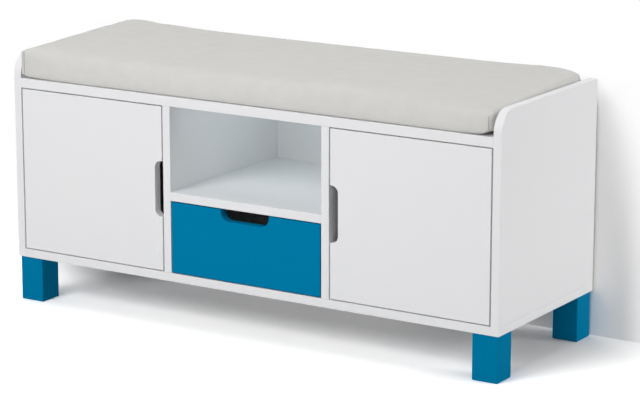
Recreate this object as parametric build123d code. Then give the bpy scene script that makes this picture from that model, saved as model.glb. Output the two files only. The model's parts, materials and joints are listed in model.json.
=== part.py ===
from build123d import *

import math
import os
from collections import namedtuple

# Entryway storage bench: a white board carcass with two hinged doors, an open cubby over a drawer,
# four square legs and a loose seat cushion between the raised side panels.
# Millimetres. The origin is on the floor under the middle of the bench, +X to the right as seen
# from the front, the front faces -Y, +Z is up.

# Overall size
WIDTH = 1040.0
DEPTH = 360.0
LEG_HEIGHT = 85.0
CLEAR_HEIGHT = 312.0  # between the bottom panel and the seat panel
ARM_RISE = 46.0  # side panels above the seat panel
ARM_FRONT_RADIUS = 40.0
ARM_BACK_RADIUS = 4.0

# Boards
BOARD = 16.0  # sides, bottom, dividers and shelf
SEAT_BOARD = 18.0
BACK_BOARD = 3.0
BACK_INSET = 2.0  # back panel short of the carcass outline
EDGE_EASE = 0.8
CENTRE_OPENING = 325.0  # between the dividers
DRAWER_OPENING = 136.5  # between the bottom panel and the shelf

# Legs
LEG_SIDE = 50.0
LEG_INSET = 3.0
LEG_EASE = 1.5
LEG_FOOT_CHAMFER = 1.0

# Doors and drawer front
DOOR_BOARD = 16.0
DOOR_GAP = 2.0  # above, below
LATCH_GAP = 2.5
FRONT_GAP = 2.0  # round the drawer front
GRIP_LENGTH = 104.0  # finger cut-outs
GRIP_DEPTH = 16.0
GRIP_RADIUS = 13.0
DRAWER_GRIP_DEPTH = 21.0
DRAWER_GRIP_RADIUS = 18.0

# Concealed door hinges
HINGE_END = 70.0  # hinge centre from the door's top and bottom edges
CUP_RADIUS = 17.5
CUP_DEPTH = 11.5
CUP_WALL = 0.8
CUP_EDGE = 3.5  # board left between the cup and the door's edge
FLANGE = 1.2
FLANGE_RADIUS = 20.0
FLANGE_EARS = 62.0
FLANGE_EAR_WIDTH = 16.0
FLANGE_EAR_OFFSET = 6.0
CUP_SCREW_SPREAD = 48.0
PIN_RADIUS = 1.5
PIN_INSET = 14.0  # pin axis from the door's hinge edge
KNUCKLE_RADIUS = 2.5
KNUCKLE_CLEAR = 0.3
PIN_CLEAR = 0.05
SWING_CLEAR = 0.5
ARM = 2.0  # thickness of the hinge arm's strip
ARM_WIDTH = 12.0
ARM_CLEAR = 1.0
ARM_BEND = 4.0
ARM_REACH = 15.0  # from the pin to the arm's drop into the cup
ARM_DROP = 5.0
ARM_LENGTH = 40.0  # part of the arm that lies on its plate
PLATE = 4.0
PLATE_WIDTH = 15.0
PLATE_EARS = 44.0
PLATE_EAR = 2.0
PLATE_EAR_WIDTH = 14.0
PLATE_EAR_RADIUS = 4.5
PLATE_SCREW_SPREAD = 32.0

# Magnet catches
CATCH_LENGTH = 46.0
CATCH_BODY = 26.0
CATCH_DEPTH = 15.0
CATCH_HEIGHT = 13.0
CATCH_EAR = 3.0
CATCH_SETBACK = 55.0  # catch centre from the door's free edge
STRIKE_HEIGHT = 12.0
STRIKE = 1.0
STRIKE_GAP = 0.4
STRIKE_PEG_RADIUS = 1.5
STRIKE_PEG = 9.0

# Drawer box
DRAWER_BOARD = 12.0
DRAWER_BACK_CLEAR = 41.0  # space between the drawer and the back panel
DRAWER_HEIGHT = 90.0
DRAWER_BASE = 3.0
DRAWER_CAM_SHARES = (1 / 3, 3 / 4)  # of the height of the drawer sides
DRAWER_SCREW_SHARES = (1 / 2, 5 / 6)
GROOVE_DEPTH = 6.0
GROOVE_HEIGHT = 8.0  # groove above the lower edge of the drawer sides
GROOVE_CLEAR = 0.2

# Roller runners, one pair on each side of the drawer
RUNNER_SPACE = 12.7
RUNNER_LIFT = 8.0  # rail above the bottom panel
RUNNER_SETBACK = 2.0  # rail behind the drawer front
STEEL = 1.2
FOLD = 1.2  # centre line radius of the folds
RAIL_WIDTH = 10.5
RAIL_LIP = 3.2
MOUTH_CLEAR = 2.5  # cut-back of the rail's upper flange behind the front roller
ROLLER_RADIUS = 12.0
ROLLER_WIDTH = 5.4
ROLLER_EASE = 0.8
ROLLER_GAP = 0.3
ROLLER_STANDOFF = 3.4  # roller from the face that its rail is screwed to
ROLLER_END = 16.0  # roller axis from the end of its rail
FLANGE_DROP = 5.2  # drawer sides above the foot of the rail
UNDER_FLANGE = 11.5
AXLE_RADIUS = 2.5
AXLE_HEAD_RADIUS = 4.0
AXLE_HEAD = 0.8
AXLE_CLEAR = 0.05

# Fasteners
HOLE_CLEAR = 0.1
JOINT_SETBACK = 75.0  # first fixing from the front and back edges of a board
DOWEL_RADIUS = 4.0
DOWEL_LENGTH = 30.0
DOWEL_FACE_DEPTH = 10.0  # part of a dowel in the board that is drilled on its face
DOWEL_SPREAD = 60.0
CONFIRMAT_LENGTH = 50.0
CONFIRMAT_HEAD_RADIUS = 5.0
CONFIRMAT_HEAD = 3.5
CONFIRMAT_NECK_RADIUS = 3.5
CONFIRMAT_THREAD_RADIUS = 2.5
SCREW_LENGTH = 13.0
SCREW_RADIUS = 1.6
SCREW_HEAD_RADIUS = 3.4
SCREW_HEAD = 1.8
DRAWER_SCREW_LENGTH = 30.0
ARM_SCREW_RADIUS = 2.0
ARM_SCREW_HEAD_RADIUS = 3.6
NAIL_LENGTH = 19.0
NAIL_RADIUS = 0.8
NAIL_HEAD_RADIUS = 2.2
NAIL_HEAD = 0.8
NAILS_ACROSS = 5
NAILS_UP = 2
NAIL_EDGE = 60.0  # end nails from the corners
BOLT_RADIUS = 4.0  # hanger bolts between legs and bottom panel
BOLT_IN_LEG = 35.0
INSERT_LENGTH = 12.0
INSERT_RADIUS = 6.0
INSERT_FLANGE_RADIUS = 8.5
INSERT_FLANGE = 1.2

CamSize = namedtuple("CamSize", "radius depth setback shank thread thread_depth")
BOARD_CAM = CamSize(radius=7.5, depth=12.0, setback=24.0, shank=3.0, thread=2.5, thread_depth=11.0)
DRAWER_CAM = CamSize(radius=6.0, depth=9.0, setback=20.0, shank=2.4, thread=2.0, thread_depth=10.0)

# Cushion
CUSHION_GAP = 2.0  # to the side panels
CUSHION_FRONT = 1.0  # behind the front edge of the seat panel
CUSHION_DEPTH = 352.0
CUSHION_EDGE = 50.0  # height at the corners
CUSHION_CROWN_ALONG = 6.0
CUSHION_CROWN_ACROSS = 6.0
CUSHION_CORNER = 20.0
CUSHION_TOP_EDGE = 12.0
CUSHION_FOOT_EDGE = 6.0
COVER = 1.5
CUSHION_SEAT_GAP = 0.3
FOAM_GAP = 0.2

# Levels worked out from the sizes above
X_SIDE = WIDTH / 2 - BOARD  # inner face of a side panel
X_DIVIDER = CENTRE_OPENING / 2  # inner face of a divider
X_DIVIDER_OUT = X_DIVIDER + BOARD
Y_FRONT = -DEPTH / 2
Y_BACK = DEPTH / 2 - BACK_BOARD  # back edges of the boards
Y_DOOR_BACK = Y_FRONT + DOOR_BOARD
Z_BOTTOM = LEG_HEIGHT
Z_FLOOR = Z_BOTTOM + BOARD
Z_UNDER_SEAT = Z_FLOOR + CLEAR_HEIGHT
Z_SEAT = Z_UNDER_SEAT + SEAT_BOARD
Z_ARM = Z_SEAT + ARM_RISE
Z_UNDER_SHELF = Z_FLOOR + DRAWER_OPENING
Z_SHELF = Z_UNDER_SHELF + BOARD

# The pin lies clear of the cup's floor, and the gap at the hinge edge lets the door's corner swing past
PIN_DEPTH = DOOR_BOARD - CUP_DEPTH + CUP_WALL + KNUCKLE_CLEAR + KNUCKLE_RADIUS
HINGE_GAP = math.hypot(PIN_INSET, PIN_DEPTH) - PIN_INSET + SWING_CLEAR
CUP_CENTRE = CUP_EDGE + CUP_RADIUS  # from the door's hinge edge
DOOR_LEFT = -X_SIDE + HINGE_GAP
DOOR_RIGHT = -X_DIVIDER_OUT - LATCH_GAP
DOOR_FOOT = Z_FLOOR + DOOR_GAP
DOOR_HEAD = Z_UNDER_SEAT - DOOR_GAP
PIN_X = DOOR_LEFT + PIN_INSET
PIN_Y = Y_FRONT + PIN_DEPTH
HINGE_LEVELS = (DOOR_FOOT + HINGE_END, DOOR_HEAD - HINGE_END)
# The arm crosses behind the arc that the door's back edge sweeps about the pin
ARM_CROSS = PIN_Y + math.hypot(PIN_INSET, DOOR_BOARD - PIN_DEPTH + FLANGE) + ARM_CLEAR + ARM / 2
PLATE_FRONT = ARM_CROSS - ARM / 2
PLATE_FACE = -X_SIDE + PLATE
CATCH_X = DOOR_RIGHT - CATCH_SETBACK
CATCH_FRONT = Y_DOOR_BACK + STRIKE + STRIKE_GAP

DRAWER_FOOT = Z_FLOOR + FRONT_GAP
DRAWER_HEAD = Z_UNDER_SHELF - FRONT_GAP
DRAWER_X = X_DIVIDER - RUNNER_SPACE  # outer face of a drawer side
RAIL_Z = Z_FLOOR + RUNNER_LIFT
DRAWER_SIDE_FOOT = RAIL_Z + FLANGE_DROP
DRAWER_DEPTH = Y_BACK - DRAWER_BACK_CLEAR - Y_DOOR_BACK
DRAWER_END = Y_DOOR_BACK + DRAWER_DEPTH
RUNNER_LENGTH = DRAWER_DEPTH
RAIL_FRONT = Y_DOOR_BACK + RUNNER_SETBACK
RAIL_CHANNEL = 2 * (ROLLER_RADIUS + ROLLER_GAP)
RAIL_HEIGHT = RAIL_CHANNEL + 2 * STEEL
REAR_ROLLER_Z = RAIL_Z + STEEL + ROLLER_GAP + ROLLER_RADIUS
# Underside of the flange that the front roller carries
CARRY_Z = RAIL_Z + RAIL_HEIGHT + STEEL + 2 * ROLLER_GAP
FRONT_ROLLER_Z = CARRY_Z - ROLLER_GAP - ROLLER_RADIUS
FRONT_ROLLER_Y = RAIL_FRONT + ROLLER_END
REAR_ROLLER_Y = DRAWER_END - ROLLER_END
ROLLER_OUT = X_DIVIDER - ROLLER_STANDOFF  # roller face next to the divider
ROLLER_IN = ROLLER_OUT - ROLLER_WIDTH

JOINT_LINES = (Y_FRONT + JOINT_SETBACK, Y_BACK - JOINT_SETBACK)
DOWEL_LINES = (-DOWEL_SPREAD / 2, DOWEL_SPREAD / 2)
LEG_X = WIDTH / 2 - LEG_INSET - LEG_SIDE / 2
LEG_FRONT_Y = Y_FRONT + LEG_INSET + LEG_SIDE / 2
LEG_REAR_Y = Y_BACK - LEG_INSET - LEG_SIDE / 2

UP = (0, 0, 1)
DOWN = (0, 0, -1)
RIGHT = (1, 0, 0)
LEFT = (-1, 0, 0)
BACKWARD = (0, 1, 0)
FORWARD = (0, -1, 0)


def block(x, y, z):
    """A square block between pairs of limits along X, Y and Z."""
    centre = Pos(sum(x) / 2, sum(y) / 2, sum(z) / 2)
    return centre * Box(abs(x[1] - x[0]), abs(y[1] - y[0]), abs(z[1] - z[0]))


def turned(profile, grow=0.0):
    """A solid of revolution about Z from (radius, height) steps, or with grow the hole that it fits."""
    low, high = profile[0][1], profile[-1][1]
    steps = []
    for radius, height in profile:
        stretch = -grow if height == low else grow if height == high else 0.0
        steps.append((radius + grow, 0, height + stretch))
    outline = [(0, 0, low - grow)] + steps + [(0, 0, high + grow)]
    return revolve(make_face(Polyline(*outline, close=True)), Axis.Z)


def along(point, direction):
    """A place at a point, with its Z axis along a direction."""
    return Plane(origin=point, z_dir=direction)


def mirrored(shape):
    """The same piece on the other side of the bench."""
    return mirror(shape, about=Plane.YZ)


def group(solids):
    """Separate solids kept together in one file."""
    return Compound([solid for piece in solids for solid in piece.solids()])


def front_edges(board, axis):
    """Edges of a board's front face that run along an axis."""
    return board.edges().group_by(Axis.Y)[0].filter_by(axis)


def save(name, shape):
    export_step(shape, f"parts/{name}.step")


# Fasteners: each function gives the piece, or with grow the hole that it sits in


def confirmat(grow=0.0):
    """A panel screw, its head flush with the underside of the bottom panel."""
    profile = [
        (CONFIRMAT_HEAD_RADIUS, 0),
        (CONFIRMAT_HEAD_RADIUS, CONFIRMAT_HEAD),
        (CONFIRMAT_NECK_RADIUS, CONFIRMAT_HEAD),
        (CONFIRMAT_NECK_RADIUS, BOARD),
        (CONFIRMAT_THREAD_RADIUS, BOARD),
        (CONFIRMAT_THREAD_RADIUS, CONFIRMAT_LENGTH),
    ]
    return turned(profile, grow)


def dowel(grow=0.0):
    """A wood dowel across a joint at z = 0, its shorter end in the board that is drilled on its face."""
    return turned([(DOWEL_RADIUS, -DOWEL_FACE_DEPTH), (DOWEL_RADIUS, DOWEL_LENGTH - DOWEL_FACE_DEPTH)], grow)


def screw(length=SCREW_LENGTH):
    """A pan-head screw that points along +Z, with the face under its head at z = 0."""
    profile = [
        (SCREW_HEAD_RADIUS, -SCREW_HEAD),
        (SCREW_HEAD_RADIUS, 0),
        (SCREW_RADIUS, 0),
        (SCREW_RADIUS, length),
    ]
    return turned(profile)


def screw_hole(length=SCREW_LENGTH):
    """The hole for a screw's shank, the same on both sides of the face under its head."""
    return turned([(SCREW_RADIUS, -length), (SCREW_RADIUS, length)], HOLE_CLEAR)


def nail(grow=0.0):
    """A flat-head nail along +Z, its head flush at z = 0."""
    profile = [
        (NAIL_HEAD_RADIUS, 0),
        (NAIL_HEAD_RADIUS, NAIL_HEAD),
        (NAIL_RADIUS, NAIL_HEAD),
        (NAIL_RADIUS, NAIL_LENGTH),
    ]
    return turned(profile, grow)


def leg_bolt(grow=0.0):
    """A hanger bolt across the top of a leg at z = 0."""
    return turned([(BOLT_RADIUS, -BOLT_IN_LEG), (BOLT_RADIUS, INSERT_LENGTH)], grow)


def leg_insert(grow=0.0):
    """A flanged threaded insert, flush with the underside of the bottom panel at z = 0."""
    profile = [
        (INSERT_FLANGE_RADIUS, 0),
        (INSERT_FLANGE_RADIUS, INSERT_FLANGE),
        (INSERT_RADIUS, INSERT_FLANGE),
        (INSERT_RADIUS, INSERT_LENGTH),
    ]
    return turned(profile, grow)


class CamJoint:
    """A bolt screwed into one board's face and held in the next board by a cam turned into its side.

    point is where the bolt crosses the joint, half way through the cammed board, inward is the way
    into that board, and open_side is the way from there to the face where the cam shows."""

    def __init__(self, point, inward, open_side, board, size):
        place = Plane(origin=point, x_dir=open_side, z_dir=inward)
        head_start = size.setback - size.shank
        neck_start = head_start - size.shank
        shank_steps = [
            (size.thread, -size.thread_depth),
            (size.thread, 0),
            (size.shank, 0),
            (size.shank, neck_start),
            (size.thread / 2, neck_start),
            (size.thread / 2, head_start),
            (size.shank, head_start),
            (size.shank, size.setback),
        ]
        self.bolt = place * turned(shank_steps)
        self.thread_hole = place * turned([(size.thread, -size.thread_depth), (size.thread, 0)], HOLE_CLEAR)
        bolt_bore = place * turned([(size.shank, 0), (size.shank, size.setback)], HOLE_CLEAR)
        seat = Plane(origin=(board / 2, 0, size.setback), z_dir=LEFT)
        self.cam = place * (seat * turned([(size.radius, 0), (size.radius, size.depth)])) - bolt_bore
        cam_bore = place * (seat * turned([(size.radius, 0), (size.radius, size.depth)], HOLE_CLEAR))
        self.bores = [bolt_bore, cam_bore]


def cam_joints(points, inward, open_side, board, size=BOARD_CAM):
    return [CamJoint(point, inward, open_side, board, size) for point in points]


def thread_holes(joints):
    return [joint.thread_hole for joint in joints]


def bores(joints):
    return [bore for joint in joints for bore in joint.bores]


# Fixings of the carcass: cams and dowels between the boards, panel screws from underneath

SEAT_MIDDLE = (Z_UNDER_SEAT + Z_SEAT) / 2
SHELF_MIDDLE = (Z_UNDER_SHELF + Z_SHELF) / 2
DIVIDER_MIDDLE = X_DIVIDER + BOARD / 2
SIDE_MIDDLE = X_SIDE + BOARD / 2

seat_left_cams = cam_joints([(-X_SIDE, y, SEAT_MIDDLE) for y in JOINT_LINES], RIGHT, DOWN, SEAT_BOARD)
seat_right_cams = cam_joints([(X_SIDE, y, SEAT_MIDDLE) for y in JOINT_LINES], LEFT, DOWN, SEAT_BOARD)
shelf_left_cams = cam_joints([(-X_DIVIDER, y, SHELF_MIDDLE) for y in JOINT_LINES], RIGHT, DOWN, BOARD)
shelf_right_cams = cam_joints([(X_DIVIDER, y, SHELF_MIDDLE) for y in JOINT_LINES], LEFT, DOWN, BOARD)
divider_left_cams = cam_joints([(-DIVIDER_MIDDLE, y, Z_UNDER_SEAT) for y in JOINT_LINES], DOWN, LEFT, BOARD)
divider_right_cams = cam_joints([(DIVIDER_MIDDLE, y, Z_UNDER_SEAT) for y in JOINT_LINES], DOWN, RIGHT, BOARD)
carcass_cams = (
    seat_left_cams
    + seat_right_cams
    + shelf_left_cams
    + shelf_right_cams
    + divider_left_cams
    + divider_right_cams
)

dowel_places = []
for y in DOWEL_LINES:
    dowel_places += [
        along((-X_SIDE, y, SEAT_MIDDLE), RIGHT),
        along((X_SIDE, y, SEAT_MIDDLE), LEFT),
        along((-DIVIDER_MIDDLE, y, Z_UNDER_SEAT), DOWN),
        along((DIVIDER_MIDDLE, y, Z_UNDER_SEAT), DOWN),
        along((-SIDE_MIDDLE, y, Z_FLOOR), UP),
        along((SIDE_MIDDLE, y, Z_FLOOR), UP),
        along((-DIVIDER_MIDDLE, y, Z_FLOOR), UP),
        along((DIVIDER_MIDDLE, y, Z_FLOOR), UP),
    ]
for end, inward in ((-X_DIVIDER, RIGHT), (X_DIVIDER, LEFT)):
    dowel_places.append(along((end, 0, SHELF_MIDDLE), inward))
dowel_holes = [place * dowel(HOLE_CLEAR) for place in dowel_places]

confirmat_places = []
for x in (-SIDE_MIDDLE, -DIVIDER_MIDDLE, DIVIDER_MIDDLE, SIDE_MIDDLE):
    confirmat_places += [along((x, y, Z_BOTTOM), UP) for y in JOINT_LINES]
confirmat_holes = [place * confirmat(HOLE_CLEAR) for place in confirmat_places]

nail_places = []
nail_run = WIDTH - 2 * NAIL_EDGE
for step in range(NAILS_ACROSS):
    x = -nail_run / 2 + nail_run * step / (NAILS_ACROSS - 1)
    for z in (Z_BOTTOM + BOARD / 2, SEAT_MIDDLE):
        nail_places.append(along((x, DEPTH / 2, z), FORWARD))
for x in (-SIDE_MIDDLE, -DIVIDER_MIDDLE, DIVIDER_MIDDLE, SIDE_MIDDLE):
    for step in range(NAILS_UP):
        z = Z_FLOOR + CLEAR_HEIGHT * (step + 1) / (NAILS_UP + 1)
        nail_places.append(along((x, DEPTH / 2, z), FORWARD))
nail_holes = [place * nail(HOLE_CLEAR) for place in nail_places]

leg_tops = {
    "front_left_leg": (-LEG_X, LEG_FRONT_Y, Z_BOTTOM),
    "front_right_leg": (LEG_X, LEG_FRONT_Y, Z_BOTTOM),
    "rear_left_leg": (-LEG_X, LEG_REAR_Y, Z_BOTTOM),
    "rear_right_leg": (LEG_X, LEG_REAR_Y, Z_BOTTOM),
}

# Fitting screws of the left half: hinge plates, magnet catch and drawer rail, mirrored for the right half
plate_middle = PLATE_FRONT + ARM_LENGTH / 2
plate_screw_places = []
for level in HINGE_LEVELS:
    for offset in (-PLATE_SCREW_SPREAD / 2, PLATE_SCREW_SPREAD / 2):
        plate_screw_places.append(along((-X_SIDE + PLATE_EAR, plate_middle, level + offset), LEFT))
catch_ear_middle = (CATCH_LENGTH + CATCH_BODY) / 4
catch_screw_places = [
    along((CATCH_X + offset, CATCH_FRONT + CATCH_DEPTH / 2, Z_UNDER_SEAT - CATCH_EAR), UP)
    for offset in (-catch_ear_middle, catch_ear_middle)
]
rail_screw_places = [
    along((-X_DIVIDER + STEEL, y, RAIL_Z + RAIL_HEIGHT / 2), LEFT)
    for y in (RAIL_FRONT + JOINT_SETBACK, RAIL_FRONT + RUNNER_LENGTH - JOINT_SETBACK)
]
fitting_screw_places = plate_screw_places + catch_screw_places + rail_screw_places


def screw_holes(places):
    return [place * screw_hole() for place in places]


def both_sides(shapes):
    return list(shapes) + [mirrored(shape) for shape in shapes]


# Carcass boards


def bottom_panel():
    """Full-width board that the uprights stand on, drilled for screws, dowels, leg inserts and nails."""
    board = block((-WIDTH / 2, WIDTH / 2), (Y_FRONT, Y_BACK), (Z_BOTTOM, Z_FLOOR))
    board = fillet(board.edges(), EDGE_EASE)
    inserts = [Pos(*top) * leg_insert(HOLE_CLEAR) for top in leg_tops.values()]
    return board - confirmat_holes - dowel_holes - inserts - nail_holes


def left_side_panel():
    """Upright that rises past the seat as a low arm, with a round front corner."""
    width, height = Y_BACK - Y_FRONT, Z_ARM - Z_FLOOR
    outline = Rectangle(width, height)
    corners = outline.vertices().group_by(Axis.Y)[-1].sort_by(Axis.X)
    outline = fillet(corners[0], ARM_FRONT_RADIUS)
    outline = fillet(outline.vertices().group_by(Axis.Y)[-1].sort_by(Axis.X)[-1], ARM_BACK_RADIUS)
    middle = (-X_SIDE, (Y_FRONT + Y_BACK) / 2, (Z_FLOOR + Z_ARM) / 2)
    board = extrude(Plane(origin=middle, x_dir=BACKWARD, z_dir=RIGHT) * outline, -BOARD)
    faces = board.faces().filter_by(Axis.X)
    board = fillet(faces[0].edges() + faces[1].edges(), EDGE_EASE)
    return board


def drilled_side_panel(board, seat_cams):
    """A side panel with the holes for its fixings."""
    plate_holes = both_sides(screw_holes(plate_screw_places))
    return board - thread_holes(seat_cams) - confirmat_holes - dowel_holes - nail_holes - plate_holes


def seat_panel():
    board = block((-X_SIDE, X_SIDE), (Y_FRONT, Y_BACK), (Z_UNDER_SEAT, Z_SEAT))
    board = fillet(front_edges(board, Axis.X), EDGE_EASE)
    drilled = bores(seat_left_cams + seat_right_cams) + thread_holes(divider_left_cams + divider_right_cams)
    return board - drilled - dowel_holes - nail_holes - both_sides(screw_holes(catch_screw_places))


def divider(x, cams, shelf_cams):
    board = block((x, x + math.copysign(BOARD, x)), (Y_FRONT, Y_BACK), (Z_FLOOR, Z_UNDER_SEAT))
    board = fillet(front_edges(board, Axis.Z), EDGE_EASE)
    rail_holes = both_sides(screw_holes(rail_screw_places))
    drilled = bores(cams) + thread_holes(shelf_cams) + rail_holes
    return board - drilled - confirmat_holes - dowel_holes - nail_holes


def centre_shelf():
    board = block((-X_DIVIDER, X_DIVIDER), (Y_FRONT, Y_BACK), (Z_UNDER_SHELF, Z_SHELF))
    board = fillet(front_edges(board, Axis.X), EDGE_EASE)
    return board - bores(shelf_left_cams + shelf_right_cams) - dowel_holes


def back_panel():
    half = WIDTH / 2 - BACK_INSET
    sheet = block((-half, half), (Y_BACK, DEPTH / 2), (Z_BOTTOM + BACK_INSET, Z_SEAT - BACK_INSET))
    return sheet - nail_holes


def leg(top):
    """Square block leg with eased edges, bored from above for its hanger bolt."""
    x, y, z = top
    half = LEG_SIDE / 2
    post = block((x - half, x + half), (y - half, y + half), (0, z))
    post = fillet(post.edges().filter_by(Axis.Z), LEG_EASE)
    post = chamfer(post.faces().sort_by(Axis.Z)[0].edges(), LEG_FOOT_CHAMFER)
    return post - Pos(*top) * leg_bolt(HOLE_CLEAR)


# Doors and their hinges, built for the left door and mirrored for the right


def grip_cutter(depth, radius, thickness):
    """Finger cut-out with two round corners, open along its local Y axis at y = 0."""
    shape = Rectangle(GRIP_LENGTH, 2 * depth)
    shape = fillet(shape.vertices(), radius)
    return extrude(shape, thickness, both=True)


def left_door():
    """Inset door with a finger cut-out in its free edge and two cup bores in its back."""
    board = block((DOOR_LEFT, DOOR_RIGHT), (Y_FRONT, Y_DOOR_BACK), (DOOR_FOOT, DOOR_HEAD))
    grip = Plane(origin=(DOOR_RIGHT, Y_FRONT, (DOOR_FOOT + DOOR_HEAD) / 2), x_dir=UP, z_dir=BACKWARD)
    board -= grip * grip_cutter(GRIP_DEPTH, GRIP_RADIUS, 2 * DOOR_BOARD)
    board = fillet(board.faces().sort_by(Axis.Y)[0].edges(), EDGE_EASE)
    for level in HINGE_LEVELS:
        cup_place = along((DOOR_LEFT + CUP_CENTRE, Y_DOOR_BACK, level), FORWARD)
        board -= cup_place * turned([(CUP_RADIUS, 0), (CUP_RADIUS, CUP_DEPTH)], HOLE_CLEAR)
    return board - screw_holes(door_screw_places) - strike_peg(HOLE_CLEAR)


door_screw_places = []
for level in HINGE_LEVELS:
    for offset in (-CUP_SCREW_SPREAD / 2, CUP_SCREW_SPREAD / 2):
        ear = (DOOR_LEFT + CUP_CENTRE + FLANGE_EAR_OFFSET, Y_DOOR_BACK + FLANGE, level + offset)
        door_screw_places.append(along(ear, FORWARD))
strike_middle = Z_UNDER_SEAT - CATCH_EAR - (CATCH_HEIGHT - CATCH_EAR) / 2


def hinge_pin(level, grow=0.0):
    """Pin across the cup, its ends held in the cup's wall."""
    offset = abs(CUP_CENTRE - PIN_INSET) + PIN_RADIUS
    half = math.sqrt(CUP_RADIUS**2 - offset**2)
    return Pos(PIN_X, PIN_Y, level) * turned([(PIN_RADIUS, -half), (PIN_RADIUS, half)], grow)


def hinge_cup(level):
    """Pressed steel cup with a flange on the door's back face and an ear for each screw."""
    ears = Pos(FLANGE_EAR_OFFSET, 0) * Rot(0, 0, 90) * SlotOverall(FLANGE_EARS, FLANGE_EAR_WIDTH)
    flange = extrude(Circle(FLANGE_RADIUS) + ears, FLANGE)
    bowl = turned([(CUP_RADIUS, -CUP_DEPTH), (CUP_RADIUS, FLANGE)])
    hollow = turned([(CUP_RADIUS - CUP_WALL, CUP_WALL - CUP_DEPTH), (CUP_RADIUS - CUP_WALL, 2 * FLANGE)])
    place = Plane(origin=(DOOR_LEFT + CUP_CENTRE, Y_DOOR_BACK, level), x_dir=RIGHT, z_dir=BACKWARD)
    return place * (flange + bowl - hollow) - screw_holes(door_screw_places) - hinge_pin(level, PIN_CLEAR)


def arm_screw_place(level):
    return along((PLATE_FACE + ARM, plate_middle, level), LEFT)


def hinge_arm(level):
    """Cranked strip from the plate, round the swinging edge of the door and into the cup, to its knuckle."""
    lie = PLATE_FACE + ARM / 2
    drop = PIN_X + ARM_REACH
    path = FilletPolyline(
        (lie, PLATE_FRONT + ARM_LENGTH),
        (lie, ARM_CROSS),
        (drop, ARM_CROSS),
        (drop, PIN_Y + ARM_DROP),
        (PIN_X, PIN_Y),
        radius=ARM_BEND,
    )
    strip = extrude(trace(path, ARM), ARM_WIDTH / 2, both=True)
    knuckle = Pos(PIN_X, PIN_Y) * Cylinder(KNUCKLE_RADIUS, ARM_WIDTH)
    bore = Pos(PIN_X, PIN_Y) * Cylinder(PIN_RADIUS + PIN_CLEAR, 2 * ARM_WIDTH)
    arm = Pos(0, 0, level) * (strip + knuckle - bore)
    return arm - arm_screw_place(level) * arm_screw_hole()


def arm_screw():
    reach = ARM + PLATE
    profile = [
        (ARM_SCREW_HEAD_RADIUS, -SCREW_HEAD),
        (ARM_SCREW_HEAD_RADIUS, 0),
        (ARM_SCREW_RADIUS, 0),
        (ARM_SCREW_RADIUS, reach),
    ]
    return turned(profile)


def arm_screw_hole():
    return turned([(ARM_SCREW_RADIUS, -ARM), (ARM_SCREW_RADIUS, ARM + PLATE)], HOLE_CLEAR)


def hinge_plate(level):
    """Mounting plate on the side panel: a raised bed for the arm between two screw ears."""
    back = PLATE_FRONT + ARM_LENGTH
    half_bed, half_ears, half_ear = PLATE_WIDTH / 2, PLATE_EARS / 2, PLATE_EAR_WIDTH / 2
    bed = block((-X_SIDE, PLATE_FACE), (PLATE_FRONT, back), (level - half_bed, level + half_bed))
    ears = block(
        (-X_SIDE, -X_SIDE + PLATE_EAR),
        (plate_middle - half_ear, plate_middle + half_ear),
        (level - half_ears, level + half_ears),
    )
    ears = fillet(ears.edges().filter_by(Axis.X), PLATE_EAR_RADIUS)
    return bed + ears - screw_holes(plate_screw_places) - arm_screw_place(level) * arm_screw_hole()


def magnet_catch():
    """Catch under the seat panel: a magnet housing between two screw ears."""
    y = (CATCH_FRONT, CATCH_FRONT + CATCH_DEPTH)
    half_ears, half_body = CATCH_LENGTH / 2, CATCH_BODY / 2
    ears = block((CATCH_X - half_ears, CATCH_X + half_ears), y, (Z_UNDER_SEAT - CATCH_EAR, Z_UNDER_SEAT))
    body = block((CATCH_X - half_body, CATCH_X + half_body), y, (Z_UNDER_SEAT - CATCH_HEIGHT, Z_UNDER_SEAT))
    return ears + body - screw_holes(catch_screw_places)


def strike_peg(grow=0.0):
    """Knock-in peg that holds the strike plate in the door."""
    place = along((CATCH_X, Y_DOOR_BACK, strike_middle), FORWARD)
    return place * turned([(STRIKE_PEG_RADIUS, 0), (STRIKE_PEG_RADIUS, STRIKE_PEG)], grow)


def strike_plate():
    """Thin steel plate on the door's back, in front of the magnet."""
    half_length, half_height = CATCH_BODY / 2, STRIKE_HEIGHT / 2
    plate = block(
        (CATCH_X - half_length, CATCH_X + half_length),
        (Y_DOOR_BACK, Y_DOOR_BACK + STRIKE),
        (strike_middle - half_height, strike_middle + half_height),
    )
    return plate + strike_peg()


# Drawer


def drawer_front():
    """Inset front with a finger cut-out in its upper edge."""
    half = X_DIVIDER - FRONT_GAP
    board = block((-half, half), (Y_FRONT, Y_DOOR_BACK), (DRAWER_FOOT, DRAWER_HEAD))
    grip = Plane(origin=(0, Y_FRONT, DRAWER_HEAD), x_dir=RIGHT, z_dir=FORWARD)
    board -= grip * grip_cutter(DRAWER_GRIP_DEPTH, DRAWER_GRIP_RADIUS, 2 * DOOR_BOARD)
    board = fillet(board.faces().sort_by(Axis.Y)[0].edges(), EDGE_EASE)
    return board - drawer_base(GROOVE_CLEAR) - thread_holes(drawer_left_cams + drawer_right_cams)


def drawer_side(outer, cams):
    """Side board with a groove for the base, screwed to the back and cammed to the front."""
    inner = outer - math.copysign(DRAWER_BOARD, outer)
    z = (DRAWER_SIDE_FOOT, DRAWER_SIDE_FOOT + DRAWER_HEIGHT)
    board = block((outer, inner), (Y_DOOR_BACK, DRAWER_END), z)
    board = fillet(board.edges().filter_by(Axis.Y), FOLD)
    return board - drawer_base(GROOVE_CLEAR) - bores(cams) - drawer_back_holes - under_rail_holes


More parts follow.
